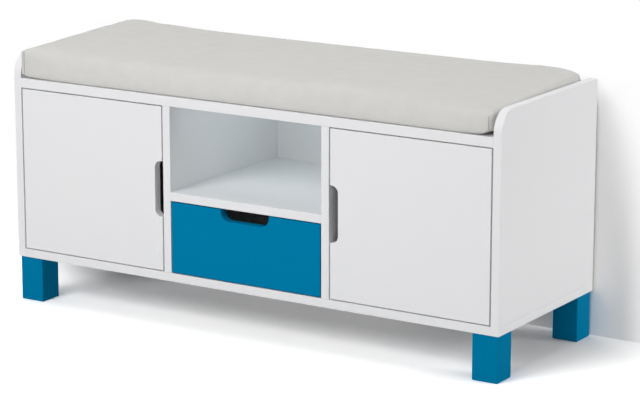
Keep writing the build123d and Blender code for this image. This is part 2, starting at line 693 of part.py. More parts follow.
def drawer_back():
    half = DRAWER_X - DRAWER_BOARD
    z = (DRAWER_SIDE_FOOT, DRAWER_SIDE_FOOT + DRAWER_HEIGHT)
    board = block((-half, half), (DRAWER_END - DRAWER_BOARD, DRAWER_END), z)
    return board - drawer_base(GROOVE_CLEAR) - drawer_back_holes


def drawer_base(grow=0.0):
    """Thin base let into grooves in the front, the sides and the back."""
    half = DRAWER_X - DRAWER_BOARD + GROOVE_DEPTH + grow
    y = (Y_DOOR_BACK - GROOVE_DEPTH - grow, DRAWER_END - DRAWER_BOARD + GROOVE_DEPTH + grow)
    low = DRAWER_SIDE_FOOT + GROOVE_HEIGHT
    return block((-half, half), y, (low - grow, low + DRAWER_BASE + grow))


drawer_side_middle = DRAWER_X - DRAWER_BOARD / 2
drawer_cam_levels = [DRAWER_SIDE_FOOT + DRAWER_HEIGHT * share for share in DRAWER_CAM_SHARES]
left_cam_points = [(-drawer_side_middle, Y_DOOR_BACK, z) for z in drawer_cam_levels]
right_cam_points = [(drawer_side_middle, Y_DOOR_BACK, z) for z in drawer_cam_levels]
drawer_left_cams = cam_joints(left_cam_points, BACKWARD, RIGHT, DRAWER_BOARD, DRAWER_CAM)
drawer_right_cams = cam_joints(right_cam_points, BACKWARD, LEFT, DRAWER_BOARD, DRAWER_CAM)
drawer_back_places = []
for share in DRAWER_SCREW_SHARES:
    z = DRAWER_SIDE_FOOT + DRAWER_HEIGHT * share
    drawer_back_places.append(along((-DRAWER_X, DRAWER_END - DRAWER_BOARD / 2, z), RIGHT))
drawer_back_holes = both_sides([place * screw_hole(DRAWER_SCREW_LENGTH) for place in drawer_back_places])
beside_groove = DRAWER_X - (DRAWER_BOARD - GROOVE_DEPTH) / 2  # solid part of a drawer side next to the groove
under_rail_places = [
    along((-beside_groove, y, DRAWER_SIDE_FOOT - STEEL), UP)
    for y in (Y_DOOR_BACK + JOINT_SETBACK, DRAWER_END - JOINT_SETBACK)
]
under_rail_holes = both_sides(screw_holes(under_rail_places))


# Roller runners of the left side, mirrored for the right


def folded_rail(points, start):
    """Folded steel section from its centre line in X and Z, drawn out along the drawer's travel."""
    path = FilletPolyline(*points, radius=FOLD)
    section = trace(path, STEEL)
    place = Plane(origin=(0, start, 0), x_dir=RIGHT, z_dir=FORWARD)
    return extrude(place * section, -RUNNER_LENGTH)


def left_runner_rail():
    """Channel on the divider; its upper flange stops behind the front roller."""
    web = -X_DIVIDER + STEEL / 2
    lip = -X_DIVIDER + RAIL_WIDTH - STEEL / 2
    foot = RAIL_Z + STEEL / 2
    head = RAIL_Z + RAIL_HEIGHT - STEEL / 2
    points = [(lip, RAIL_Z + RAIL_LIP), (lip, foot), (web, foot), (web, head), (lip, head)]
    rail = folded_rail(points, RAIL_FRONT)
    mouth_end = FRONT_ROLLER_Y + ROLLER_RADIUS + MOUTH_CLEAR
    mouth = block(
        (-X_DIVIDER + STEEL, -X_DIVIDER + 2 * RAIL_WIDTH),
        (RAIL_FRONT - STEEL, mouth_end),
        (head - 2 * STEEL, head + 2 * STEEL),
    )
    return rail - mouth - screw_holes(rail_screw_places)


def left_drawer_rail():
    """Stepped section under the drawer side, with the flange that the front roller carries."""
    web = -DRAWER_X - STEEL / 2
    reach = -X_DIVIDER + ROLLER_STANDOFF / 2
    carry = CARRY_Z + STEEL / 2
    foot = DRAWER_SIDE_FOOT - STEEL / 2
    points = [(reach, carry), (web, carry), (web, foot), (-DRAWER_X + UNDER_FLANGE, foot)]
    return folded_rail(points, Y_DOOR_BACK) - screw_holes(under_rail_places)


def roller(y, z, head_side):
    """Nylon roller on its axle, with a recess for the axle's head on one face."""
    profile = [
        (ROLLER_RADIUS - ROLLER_EASE, 0),
        (ROLLER_RADIUS, ROLLER_EASE),
        (ROLLER_RADIUS, ROLLER_WIDTH - ROLLER_EASE),
        (ROLLER_RADIUS - ROLLER_EASE, ROLLER_WIDTH),
    ]
    recess_radius = AXLE_HEAD_RADIUS + ROLLER_GAP
    recess = turned([(recess_radius, 0), (recess_radius, AXLE_HEAD + ROLLER_GAP)])
    bore = turned([(AXLE_RADIUS + AXLE_CLEAR, 0), (AXLE_RADIUS + AXLE_CLEAR, ROLLER_WIDTH)])
    x = -ROLLER_OUT if head_side == RIGHT else -ROLLER_IN
    return along((x, y, z), head_side) * (turned(profile) - recess - bore)


def axle(y, z, root, head_side):
    """Riveted stud from its rail to a head in the roller's recess, with a collar behind the roller."""
    near = -ROLLER_OUT if head_side == RIGHT else -ROLLER_IN
    far = -ROLLER_IN if head_side == RIGHT else -ROLLER_OUT
    collar_end = abs(far - near) + ROLLER_GAP
    profile = [
        (AXLE_HEAD_RADIUS, 0),
        (AXLE_HEAD_RADIUS, AXLE_HEAD),
        (AXLE_RADIUS, AXLE_HEAD),
        (AXLE_RADIUS, collar_end),
        (AXLE_HEAD_RADIUS, collar_end),
        (AXLE_HEAD_RADIUS, abs(root - near)),
    ]
    return along((near, y, z), head_side) * turned(profile)


def front_roller():
    return roller(FRONT_ROLLER_Y, FRONT_ROLLER_Z, LEFT)


def front_axle():
    return axle(FRONT_ROLLER_Y, FRONT_ROLLER_Z, -X_DIVIDER + STEEL, LEFT)


def rear_roller():
    return roller(REAR_ROLLER_Y, REAR_ROLLER_Z, RIGHT)


def rear_axle():
    return axle(REAR_ROLLER_Y, REAR_ROLLER_Z, -DRAWER_X - STEEL, RIGHT)


# Cushion


def cushion_form(inset):
    """Box cushion, its top crowned along and across the bench, or the same form drawn in all round."""
    half_length = X_SIDE - CUSHION_GAP - inset
    front = Y_FRONT + CUSHION_FRONT + inset
    back = Y_FRONT + CUSHION_FRONT + CUSHION_DEPTH - inset
    middle = (front + back) / 2
    foot = Z_SEAT + CUSHION_SEAT_GAP + inset
    edge = Z_SEAT + CUSHION_SEAT_GAP + CUSHION_EDGE - inset
    crest = edge + CUSHION_CROWN_ACROSS + CUSHION_CROWN_ALONG
    sweep_radius = half_length**2 / (2 * CUSHION_CROWN_ALONG)
    shoulder = crest - CUSHION_CROWN_ACROSS
    top = ThreePointArc((0, front, shoulder), (0, middle, crest), (0, back, shoulder))
    below = foot - CUSHION_EDGE
    walls = Polyline((0, back, shoulder), (0, back, below), (0, front, below), (0, front, shoulder))
    section = make_face(top + walls)
    axis = Axis((0, middle, crest - sweep_radius), BACKWARD)
    half_angle = math.degrees(math.atan(half_length / sweep_radius)) * 2
    crowned = revolve(section.rotate(axis, -half_angle), axis, 2 * half_angle)
    envelope = block((-half_length, half_length), (front, back), (foot, crest + CUSHION_EDGE))
    envelope = fillet(envelope.edges().filter_by(Axis.Z), CUSHION_CORNER - inset)
    form = crowned & envelope
    form = fillet(form.faces().sort_by(Axis.Z)[-1].edges(), CUSHION_TOP_EDGE - inset)
    return fillet(form.faces().sort_by(Axis.Z)[0].edges(), CUSHION_FOOT_EDGE - inset)


# Write one file for each node

os.makedirs("parts", exist_ok=True)

save("bottom_panel", bottom_panel())
save("left_side_panel", drilled_side_panel(left_side_panel(), seat_left_cams))
save("right_side_panel", drilled_side_panel(mirrored(left_side_panel()), seat_right_cams))
save("seat_panel", seat_panel())
save("left_divider", divider(-X_DIVIDER, divider_left_cams, shelf_left_cams))
save("right_divider", divider(X_DIVIDER, divider_right_cams, shelf_right_cams))
save("centre_shelf", centre_shelf())
save("back_panel", back_panel())
for name, top in leg_tops.items():
    save(name, leg(top))
inserts = [Pos(*top) * (leg_insert() - leg_bolt(HOLE_CLEAR)) for top in leg_tops.values()]
save("leg_inserts", group(inserts))
save("leg_bolts", group([Pos(*top) * leg_bolt() for top in leg_tops.values()]))
save("cam_locks", group([joint.cam for joint in carcass_cams]))
save("cam_bolts", group([joint.bolt for joint in carcass_cams]))
save("wood_dowels", group([place * dowel() for place in dowel_places]))
save("confirmat_screws", group([place * confirmat() for place in confirmat_places]))
save("back_panel_nails", group([place * nail() for place in nail_places]))
save("fitting_screws", group(both_sides([place * screw() for place in fitting_screw_places])))

left_pieces = {
    "door": left_door(),
    "hinge_cups": group([hinge_cup(level) for level in HINGE_LEVELS]),
    "hinge_pins": group([hinge_pin(level) for level in HINGE_LEVELS]),
    "hinge_arms": group([hinge_arm(level) for level in HINGE_LEVELS]),
    "hinge_plates": group([hinge_plate(level) for level in HINGE_LEVELS]),
    "hinge_arm_screws": group([arm_screw_place(level) * arm_screw() for level in HINGE_LEVELS]),
    "door_screws": group([place * screw() for place in door_screw_places]),
    "magnet_catch": magnet_catch(),
    "strike_plate": strike_plate(),
    "runner_rail": left_runner_rail(),
    "drawer_rail": left_drawer_rail(),
    "front_roller": front_roller(),
    "rear_roller": rear_roller(),
}
for name, piece in left_pieces.items():
    save(f"left_{name}", piece)
    save(f"right_{name}", mirrored(piece))

save("front_roller_axles", group(both_sides([front_axle()])))
save("rear_roller_axles", group(both_sides([rear_axle()])))

save("drawer_front", drawer_front())
save("drawer_left_side", drawer_side(-DRAWER_X, drawer_left_cams))
save("drawer_right_side", drawer_side(DRAWER_X, drawer_right_cams))
save("drawer_back", drawer_back())
save("drawer_base", drawer_base())
save("drawer_cam_locks", group([joint.cam for joint in drawer_left_cams + drawer_right_cams]))
save("drawer_cam_bolts", group([joint.bolt for joint in drawer_left_cams + drawer_right_cams]))
back_screws = [place * screw(DRAWER_SCREW_LENGTH) for place in drawer_back_places]
rail_screws = [place * screw() for place in under_rail_places]
save("drawer_back_screws", group(both_sides(back_screws)))
save("drawer_rail_screws", group(both_sides(rail_screws)))

save("cushion_cover", cushion_form(0) - cushion_form(COVER))
save("cushion_foam", cushion_form(COVER + FOAM_GAP))
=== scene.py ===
# %% [markdown]
# # An entryway bench in white board and blue lacquer
# This lesson dresses a flat-pack storage bench. The boards, doors, drawer, legs and fittings arrive
# as a finished frame at their real size, so the work here is the finish of every surface, the
# stuffed seat cushion, the light and the camera. Everything is in metres: X runs along the bench,
# the front faces -Y and the floor is at Z = 0.

# %% Load the frame
import json
import math

import bmesh
import bpy
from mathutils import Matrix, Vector


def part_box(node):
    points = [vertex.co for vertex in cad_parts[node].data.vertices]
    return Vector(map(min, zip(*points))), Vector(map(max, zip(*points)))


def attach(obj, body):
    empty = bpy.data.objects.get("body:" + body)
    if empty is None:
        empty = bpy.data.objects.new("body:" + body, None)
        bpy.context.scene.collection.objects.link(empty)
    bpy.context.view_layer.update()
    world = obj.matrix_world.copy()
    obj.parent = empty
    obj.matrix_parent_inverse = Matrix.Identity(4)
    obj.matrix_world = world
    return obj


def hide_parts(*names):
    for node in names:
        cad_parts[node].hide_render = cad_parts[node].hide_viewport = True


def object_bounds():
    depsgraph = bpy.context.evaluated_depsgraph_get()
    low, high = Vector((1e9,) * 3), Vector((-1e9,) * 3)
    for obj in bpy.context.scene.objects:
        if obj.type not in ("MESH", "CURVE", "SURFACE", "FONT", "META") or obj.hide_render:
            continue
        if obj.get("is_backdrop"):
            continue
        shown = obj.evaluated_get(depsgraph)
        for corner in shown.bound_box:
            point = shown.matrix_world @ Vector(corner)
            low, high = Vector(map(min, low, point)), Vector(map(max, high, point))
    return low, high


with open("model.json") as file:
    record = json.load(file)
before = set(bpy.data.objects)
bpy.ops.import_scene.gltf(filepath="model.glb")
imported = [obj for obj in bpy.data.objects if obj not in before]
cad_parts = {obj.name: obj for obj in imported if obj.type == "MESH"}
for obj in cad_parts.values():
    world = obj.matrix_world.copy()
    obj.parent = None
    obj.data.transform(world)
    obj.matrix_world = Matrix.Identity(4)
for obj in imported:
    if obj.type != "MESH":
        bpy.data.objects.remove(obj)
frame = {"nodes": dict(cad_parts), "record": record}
nodes = frame["nodes"]
cad_low, cad_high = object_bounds()
MM = 0.001
scene = bpy.context.scene
print("frame:", len(nodes), "nodes,", [round(size, 4) for size in cad_high - cad_low], "m")

# %% [markdown]
# ## Small helpers
# Colours are easiest to match to a photograph as sRGB hex values, but a shader works in linear
# light, so one function converts them. A material is a chain of nodes, and typing each one out by
# hand hides the idea in the wiring. So one function adds any kind of node: its settings are keyword
# arguments, and what goes into its sockets is a dictionary of plain values or of other nodes'
# outputs. The others start an empty material and turn millimetres into a texture's scale.


# %% Colours
def linear(hex_colour):
    """An sRGB hex colour such as "#e6e6e8" as linear RGBA."""
    parts = [int(hex_colour[i:i + 2], 16) / 255 for i in (1, 3, 5)]
    rgb = (c / 12.92 if c <= 0.04045 else ((c + 0.055) / 1.055) ** 2.4 for c in parts)
    return (*rgb, 1.0)


WHITE = linear("#ffffff")
print("white at #ffffff is", WHITE[:3])


# %% Nodes and materials
def fill(tree, node, sockets):
    """Sets sockets of a node to plain values, or links them to other nodes' outputs."""
    for name, value in sockets.items():
        if isinstance(value, bpy.types.NodeSocket):
            tree.links.new(value, node.inputs[name])
        else:
            node.inputs[name].default_value = value


def add_node(tree, kind, sockets=None, **settings):
    """Adds one node, sets its settings and fills its sockets."""
    node = tree.nodes.new(kind)
    for name, value in settings.items():
        setattr(node, name, value)
    fill(tree, node, sockets or {})
    return node


def empty_tree(owner):
    """Node tree of a material or a world, with nothing in it."""
    owner.use_nodes = True
    owner.node_tree.nodes.clear()
    return owner.node_tree


def new_material(name):
    """A material, its tree, its Principled shader and the piece's own coordinates in metres."""
    material = bpy.data.materials.new(name)
    tree = empty_tree(material)
    shader = add_node(tree, "ShaderNodeBsdfPrincipled")
    add_node(tree, "ShaderNodeOutputMaterial", {"Surface": shader.outputs["BSDF"]})
    place = add_node(tree, "ShaderNodeTexCoord").outputs["Object"]
    return material, tree, shader, place


def per_metre(size_mm):
    """Texture scale that makes one cell of a noise pattern this many millimetres wide."""
    return 1 / (size_mm * MM)


print("a cell of 2 mm needs a scale of", per_metre(2))

# %% [markdown]
# ## Melamine-faced board
# The carcass and the doors are particle board with a pressed melamine face. The press plate leaves
# a fine pearl grain, so the white isn't a mirror: highlights break up softly. A flat white would
# look like paper. Two noises do it: a fine one for the pearl, as a bump, and a slow one that moves
# the gloss and the tone a little.

# %% White melamine
PEARL_HEIGHT = 0.012 * MM
GLOSS_SPREAD = 0.05         # how far the roughness moves to either side


def melamine(name, colours, roughness, pearl_mm=1.6, slow_mm=90):
    """Pressed melamine face: pearl grain, with slow changes of gloss and tone."""
    material, tree, shader, place = new_material(name)
    # The real pearl is about 0.4 mm; it is drawn several times as coarse so that it shows
    pearl = add_node(tree, "ShaderNodeTexNoise", {
        "Vector": place, "Scale": per_metre(pearl_mm), "Detail": 2.0})
    bump = add_node(tree, "ShaderNodeBump", {
        "Height": pearl.outputs["Fac"], "Strength": 0.5, "Distance": PEARL_HEIGHT})
    slow = add_node(tree, "ShaderNodeTexNoise", {
        "Vector": place, "Scale": per_metre(slow_mm), "Detail": 3.0})
    gloss = add_node(tree, "ShaderNodeMapRange", {
        "Value": slow.outputs["Fac"], "From Min": 0.3, "From Max": 0.7,
        "To Min": roughness - GLOSS_SPREAD, "To Max": roughness + GLOSS_SPREAD})
    tone = add_node(tree, "ShaderNodeMix", {
        "Factor": slow.outputs["Fac"], "A": linear(colours[0]), "B": linear(colours[1])},
        data_type="RGBA")
    fill(tree, shader, {
        "Base Color": tone.outputs["Result"], "Roughness": gloss.outputs["Result"],
        "Normal": bump.outputs["Normal"], "IOR": 1.5})
    return material


white_melamine = melamine("white_melamine_board", ("#eeeef0", "#f0f0f1"), 0.38)
drawer_foil = melamine("white_foil_drawer_board", ("#e4e5e7", "#e9e9eb"), 0.45, pearl_mm=2.4)
print("made", white_melamine.name, "and", drawer_foil.name)

# %% [markdown]
# ## Thin fibreboard for the back and the drawer base
# A back panel is 3 mm hardboard, printed white on the side that shows and left raw on the other.
# Two separate pieces would be wrong, because it is one sheet. The material asks which way a face
# points instead: to the room it is white paint, at the back brown pressed fibres, and the sawn
# edges are a dull dark grey, which is painted shade for the thin shadow line where the back meets
# the wall.

# %% Hardboard
FIBRE_HEIGHT = 0.05 * MM
FACING = 0.7                # a face points along a direction when the two agree by more than this


def hardboard(name, white_side, fibre_mm=5):
    """Hardboard: white where it faces along white_side, raw fibre behind, edges grey as painted
    shade.
    """
    material, tree, shader, place = new_material(name)
    normal = add_node(tree, "ShaderNodeTexCoord").outputs["Normal"]
    towards = add_node(tree, "ShaderNodeVectorMath", {
        0: normal, 1: white_side}, operation="DOT_PRODUCT").outputs["Value"]
    painted = add_node(tree, "ShaderNodeMath", {0: towards, 1: FACING}, operation="GREATER_THAN")
    hidden = add_node(tree, "ShaderNodeMath", {0: towards, 1: -FACING}, operation="LESS_THAN")
    fibres = add_node(tree, "ShaderNodeTexNoise", {
        "Vector": place, "Scale": per_metre(fibre_mm), "Detail": 8.0, "Roughness": 0.7,
        "Distortion": 1.5})
    raw = add_node(tree, "ShaderNodeMix", {
        "Factor": fibres.outputs["Fac"], "A": linear("#6d4d33"), "B": linear("#a98660")},
        data_type="RGBA")
    # The sawn edges are dark grey as painted shade: the thin shadow line where the back meets the
    # wall
    raw_or_edge_shade = add_node(tree, "ShaderNodeMix", {
        "Factor": hidden.outputs["Value"], "A": linear("#6f6c68"), "B": raw.outputs["Result"]},
        data_type="RGBA")
    colour = add_node(tree, "ShaderNodeMix", {
        "Factor": painted.outputs["Value"], "A": raw_or_edge_shade.outputs["Result"],
        "B": linear("#eceded")}, data_type="RGBA")
    bump = add_node(tree, "ShaderNodeBump", {
        "Height": fibres.outputs["Fac"], "Strength": 0.25, "Distance": FIBRE_HEIGHT})
    fill(tree, shader, {
        "Base Color": colour.outputs["Result"], "Roughness": 0.62,
        "Normal": bump.outputs["Normal"], "IOR": 1.5})
    return material


back_hardboard = hardboard("hardboard_back", (0.0, -1.0, 0.0))
base_hardboard = hardboard("hardboard_drawer_base", (0.0, 0.0, 1.0))
print("made", back_hardboard.name, "and", base_hardboard.name)

# %% [markdown]
# ## Blue lacquer
# The drawer front is sprayed fibreboard and the legs are sprayed wood. Lacquer levels to a satin
# film with a faint orange peel. On the legs the grain still lifts the film, so they get long
# upright streaks instead, made by squeezing a noise along the leg.

# %% Lacquer on fibreboard and on wood
FILM_HEIGHT = 0.08 * MM
GRAIN_LENGTH = 20           # a streak of grain is this many times as long as it is wide
FILM_GLOSS = 0.005          # a dull satin: a stronger reflection of the white room pales the blue


def lacquer(name, colours, peel_mm=4, grain_mm=None):
    """Satin blue lacquer with orange peel, or with raised grain where there is wood under it."""
    material, tree, shader, place = new_material(name)
    if grain_mm:
        along = add_node(tree, "ShaderNodeMapping", {
            "Vector": place, "Scale": (1.0, 1.0, 1 / GRAIN_LENGTH)})
        film = add_node(tree, "ShaderNodeTexNoise", {
            "Vector": along.outputs["Vector"], "Scale": per_metre(grain_mm), "Detail": 3.0})
    else:
        film = add_node(tree, "ShaderNodeTexNoise", {
            "Vector": place, "Scale": per_metre(peel_mm), "Detail": 1.0})
    bump = add_node(tree, "ShaderNodeBump", {
        "Height": film.outputs["Fac"], "Strength": 0.35, "Distance": FILM_HEIGHT})
    tone = add_node(tree, "ShaderNodeMix", {
        "Factor": film.outputs["Fac"], "A": linear(colours[0]), "B": linear(colours[1])},
        data_type="RGBA")
    fill(tree, shader, {
        "Base Color": tone.outputs["Result"], "Roughness": 0.42,
        "Normal": bump.outputs["Normal"], "IOR": 1.5, "Specular IOR Level": FILM_GLOSS})
    return material


drawer_lacquer = lacquer("blue_lacquer_on_fibreboard", ("#007eac", "#0083b2"))
leg_lacquer = lacquer("blue_lacquer_on_wood", ("#0078a5", "#0084b2"), grain_mm=2.5)
print("made", drawer_lacquer.name, "and", leg_lacquer.name)

# %% [markdown]
# ## Fittings
# Hinges are nickel-plated, screws and cams zinc-plated, runners steel with a white epoxy coat,
# rollers nylon, dowels beech. They show when the doors and the drawer open. Plated steel is a metal
# shader whose gloss varies with handling marks; the plastics and the coat are dielectrics.

# %% Plated steel, coated steel, nylon and beech
HANDLING = 0.1              # how far handling marks move the roughness of plated steel
GRIT_HEIGHT = 0.03 * MM


def plated(name, colour, roughness, marks_mm=3):
    """Plated steel: a metal whose gloss varies with fine handling marks."""
    material, tree, shader, place = new_material(name)
    marks = add_node(tree, "ShaderNodeTexNoise", {
        "Vector": place, "Scale": per_metre(marks_mm), "Detail": 6.0})
    gloss = add_node(tree, "ShaderNodeMapRange", {
        "Value": marks.outputs["Fac"], "To Min": roughness - HANDLING,
        "To Max": roughness + HANDLING})
    fill(tree, shader, {
        "Base Color": linear(colour), "Metallic": 1.0, "Roughness": gloss.outputs["Result"]})
    return material


def moulded(name, colours, roughness, grit_mm):
    """Moulded plastic or powder coat: a fine even grit that moves the tone a little."""
    material, tree, shader, place = new_material(name)
    grit = add_node(tree, "ShaderNodeTexNoise", {
        "Vector": place, "Scale": per_metre(grit_mm), "Detail": 2.0})
    bump = add_node(tree, "ShaderNodeBump", {
        "Height": grit.outputs["Fac"], "Strength": 0.3, "Distance": GRIT_HEIGHT})
    tone = add_node(tree, "ShaderNodeMix", {
        "Factor": grit.outputs["Fac"], "A": linear(colours[0]), "B": linear(colours[1])},
        data_type="RGBA")
    fill(tree, shader, {
        "Base Color": tone.outputs["Result"], "Roughness": roughness,
        "Normal": bump.outputs["Normal"]})
    return material


def turned_beech(name, fleck_mm=1.5):
    """Beech dowel: short brown flecks in pale wood."""
    material, tree, shader, place = new_material(name)
    flecks = add_node(tree, "ShaderNodeTexNoise", {
        "Vector": place, "Scale": per_metre(fleck_mm), "Detail": 4.0})
    tone = add_node(tree, "ShaderNodeMix", {
        "Factor": flecks.outputs["Fac"], "A": linear("#b98a5c"), "B": linear("#dcb98c")},
        data_type="RGBA")
    fill(tree, shader, {"Base Color": tone.outputs["Result"], "Roughness": 0.6})
    return material


nickel = plated("nickel_plated_steel", "#c9c7c2", 0.26)
zinc = plated("zinc_plated_steel", "#c2c6ca", 0.38)
epoxy_coat = moulded("white_epoxy_coated_steel", ("#dcdcdb", "#e4e4e2"), 0.4, 1.2)
nylon = moulded("natural_nylon", ("#d6d4ca", "#dedcd3"), 0.42, 0.8)
catch_plastic = moulded("white_catch_plastic", ("#d9d9d7", "#e0e0de"), 0.5, 0.8)
beech = turned_beech("turned_beech")
print("made", [m.name for m in (nickel, zinc, epoxy_coat, nylon, catch_plastic, beech)])

# %% [markdown]
# ## Every frame node gets its finish
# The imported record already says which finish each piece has, so the pairing is read from it. Only
# two finishes split further: the blue one, where legs and drawer front differ, and the hardboard,
# whose white side faces a different way on the drawer base.

# %% Put the materials on the frame
finishes = {
    "white_board": white_melamine, "drawer_board": drawer_foil, "back_board": back_hardboard,
    "blue_lacquer": drawer_lacquer, "zinc": zinc, "nickel": nickel, "coated_steel": epoxy_coat,
    "nylon": nylon, "catch_plastic": catch_plastic, "beech": beech,
}
for subpart in frame["record"]["subparts"]:
    name = subpart["node"]
    finish = finishes.get(subpart["material_slot"])
    if name.endswith("_leg"):
        finish = leg_lacquer
    if name == "drawer_base":
        finish = base_hardboard
    if finish:
        nodes[name].data.materials.clear()
        nodes[name].data.materials.append(finish)
print("finished", sum(len(node.data.materials) == 1 for node in nodes.values()), "nodes")

# %% [markdown]
# ## The cushion's cut shape
# The seat cushion is a slab of foam in a sewn cloth cover, boxed at the corners: cloth folds over
# the top edges without a seam, and each corner is closed by one upright seam. A scaled cube would
# look like a mattress in a catalogue plan. The real shape comes from cloth under pressure, so this
# cell only makes what a sewer would cut: a low block with small round edges, as an even grid of
# small quads that can bend.

# %% Cut the cushion block
cushion_low, cushion_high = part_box("cushion_cover")
BLOCK_HEIGHT = 58 * MM      # height of the foam block, before the cover crowns over it
EDGE_ROUND = 8 * MM         # fold of the cloth over the foam's edges
GRID = 6 * MM


def cushion_block():
    """Closed block with round edges, on the seat board."""
    mesh = bpy.data.meshes.new("cushion_block")
    block = bmesh.new()
    high = Vector((cushion_high.x, cushion_high.y, cushion_low.z + BLOCK_HEIGHT))
    bmesh.ops.create_cube(block, size=1.0)
    for vertex in block.verts:
        share = vertex.co + Vector((0.5, 0.5, 0.5))
        vertex.co = Vector([a + (b - a) * s for a, b, s in zip(cushion_low, high, share)])
    bmesh.ops.bevel(
        block, geom=block.edges[:], offset=EDGE_ROUND, segments=4, profile=0.5, affect="EDGES")
    block.to_mesh(mesh)
    block.free()
    piece = bpy.data.objects.new("seat_cushion", mesh)
    scene.collection.objects.link(piece)
    return piece


def as_shown(piece):
    """The piece with its modifiers and bevels worked out."""
    bpy.context.view_layer.update()
    return piece.evaluated_get(bpy.context.evaluated_depsgraph_get())


cushion = cushion_block()
remesh = cushion.modifiers.new("Even grid", "REMESH")
remesh.mode = "VOXEL"
remesh.voxel_size = GRID
gridded = bpy.data.meshes.new_from_object(as_shown(cushion))
cushion.modifiers.clear()
cushion.data = gridded
print("cushion grid:", len(gridded.vertices), "points")

# %% [markdown]
# ## Stuffing it
# Cloth under inner pressure swells where it is free and stays back where panels meet, which is what
# foam does to a tight cover: the faces crown, the long edges bow and the corners stay low. Gravity
# is left out, because foam carries itself. A soft limit on how far any point may move keeps the
# swelling in the cushion's real size.

# %% Swell the cover
PRESSURE = 4.0
SETTLE_FRAMES = 20
SWELL = 3.5 * MM            # soft limit of the movement
STILL = 0.001 * MM          # a point that moves less than this hasn't moved


def swollen(piece):
    """Points of the piece after cloth under pressure has settled."""
    cloth = piece.modifiers.new("Cloth", "CLOTH")
    settings = cloth.settings
    settings.quality = 5
    settings.mass = 0.3
    settings.tension_stiffness = 14
    settings.compression_stiffness = 10
    settings.shear_stiffness = 6
    settings.bending_stiffness = 0.4
    settings.use_pressure = True
    settings.uniform_pressure_force = PRESSURE
    settings.effector_weights.gravity = 0
    cloth.collision_settings.use_collision = False
    cloth.point_cache.frame_end = SETTLE_FRAMES
    for step in range(1, SETTLE_FRAMES + 1):
        scene.frame_set(step)
    mesh = piece.evaluated_get(bpy.context.evaluated_depsgraph_get()).to_mesh()
    places = [vertex.co.copy() for vertex in mesh.vertices]
    piece.modifiers.clear()
    scene.frame_set(1)
    return places


start = [vertex.co.copy() for vertex in cushion.data.vertices]
settled = swollen(cushion)
points = []
for before, after in zip(start, settled):
    move = after - before
    if move.length > STILL:
        move *= SWELL * math.tanh(move.length / SWELL) / move.length
    points.append(before + move)
furthest = max((after - before).length for before, after in zip(start, settled))
print("cloth moved up to", round(furthest / MM, 1), "mm before the limit")

# %% [markdown]
# ## Fitting it between the arms
# On the bench the cushion is pressed in between the two arms, so its ends are flat. Its seam holds
# the left front corner squarer than loose cloth would be, the right front one is tucked in from the
# arm, and the two at the back are slack and round. The front face rolls back at its top. All of
# that is a move in plan, so one function says where each point of the swollen block goes.

# %% Fill the space between the arms
SNUG = 1 * MM               # how far the left end presses past the cushion; the right, half of it
RIGHT_TUCK = 2.5 * MM       # how far the right front corner is pulled in from the arm
TUCK_REACH = 22 * MM        # how far back along the arm that is felt
TUCK_LENGTH = 100 * MM      # and how far along the cushion
FRONT_CORNER = 24 * MM      # how much of the left front corner its seam squares off
BACK_CORNER = 40 * MM       # radius of the slacker corners at the back
SQUARENESS = 6              # 2 is a round corner, and larger is squarer
LEAN = 18 * MM              # how far the front face rolls back at its top
LEAN_DEPTH = 90 * MM        # how deep into the cushion that roll is felt
LEAN_END = 55 * MM          # the corner seams keep this much of each end upright
left_end, right_end = cushion_low.x - SNUG, cushion_high.x + SNUG / 2
front_right = right_end - RIGHT_TUCK
middle_x, half_length = (left_end + right_end) / 2, (right_end - left_end) / 2
middle_y = (cushion_low.y + cushion_high.y) / 2
half_depth = (cushion_high.y - cushion_low.y) / 2
reach_x = max(abs(point.x) for point in points)
low_y, high_y = min(point.y for point in points), max(point.y for point in points)


def in_plan(point):
    """Where a point goes: scaled to the space, corners shaped, front rolled back."""
    x = point.x * half_length / reach_x
    y = ((point.y - low_y) / (high_y - low_y) - 0.5) * 2 * half_depth
    corner = BACK_CORNER if y > 0 else FRONT_CORNER
    u = (abs(x) - half_length) / corner + 1
    v = (abs(y) - half_depth) / corner + 1
    if u > 0 and v > 0:
        square = (u ** SQUARENESS + v ** SQUARENESS) ** (1 / SQUARENESS)
        rounder = square / math.hypot(u, v)
        pull = rounder if y > 0 else 1 if x > 0 else 1 / rounder
        x = math.copysign(half_length + (min(u * pull, 1) - 1) * corner, x)
        y = math.copysign(half_depth + (min(v * pull, 1) - 1) * corner, y)
    share = max(point.z - cushion_low.z, 0) / BLOCK_HEIGHT
    upright = math.exp(-(((half_length - abs(x)) / LEAN_END) ** 2))
    if x > 0:
        near_front = math.exp(-(((y + half_depth) / TUCK_REACH) ** 2))
        near_end = max(1 - (half_length - x) / TUCK_LENGTH, 0)
        x -= RIGHT_TUCK * near_front * near_end
    y += LEAN * (1 - upright) * share ** 2 * max(1 - (y + half_depth) / LEAN_DEPTH, 0)
    return middle_x + x, middle_y + y


for vertex, point in zip(cushion.data.vertices, points):
    x, y = in_plan(point)
    vertex.co = Vector((x, y, point.z))
print("cushion fills", round(2 * half_length / MM), "by", round(2 * half_depth / MM), "mm")

# %% [markdown]
# ## Sitting it on the board
# Years of sitting have left the foam uneven: it is fuller along the back and at the left end, and
# slack at the front right corner. Sculpting would do it too, but it couldn't be read or changed
# later. So those few places are named by where they are and how much they rise or sink. The board
# presses the underside flat, and the seams pull the two front corners up from it a little.

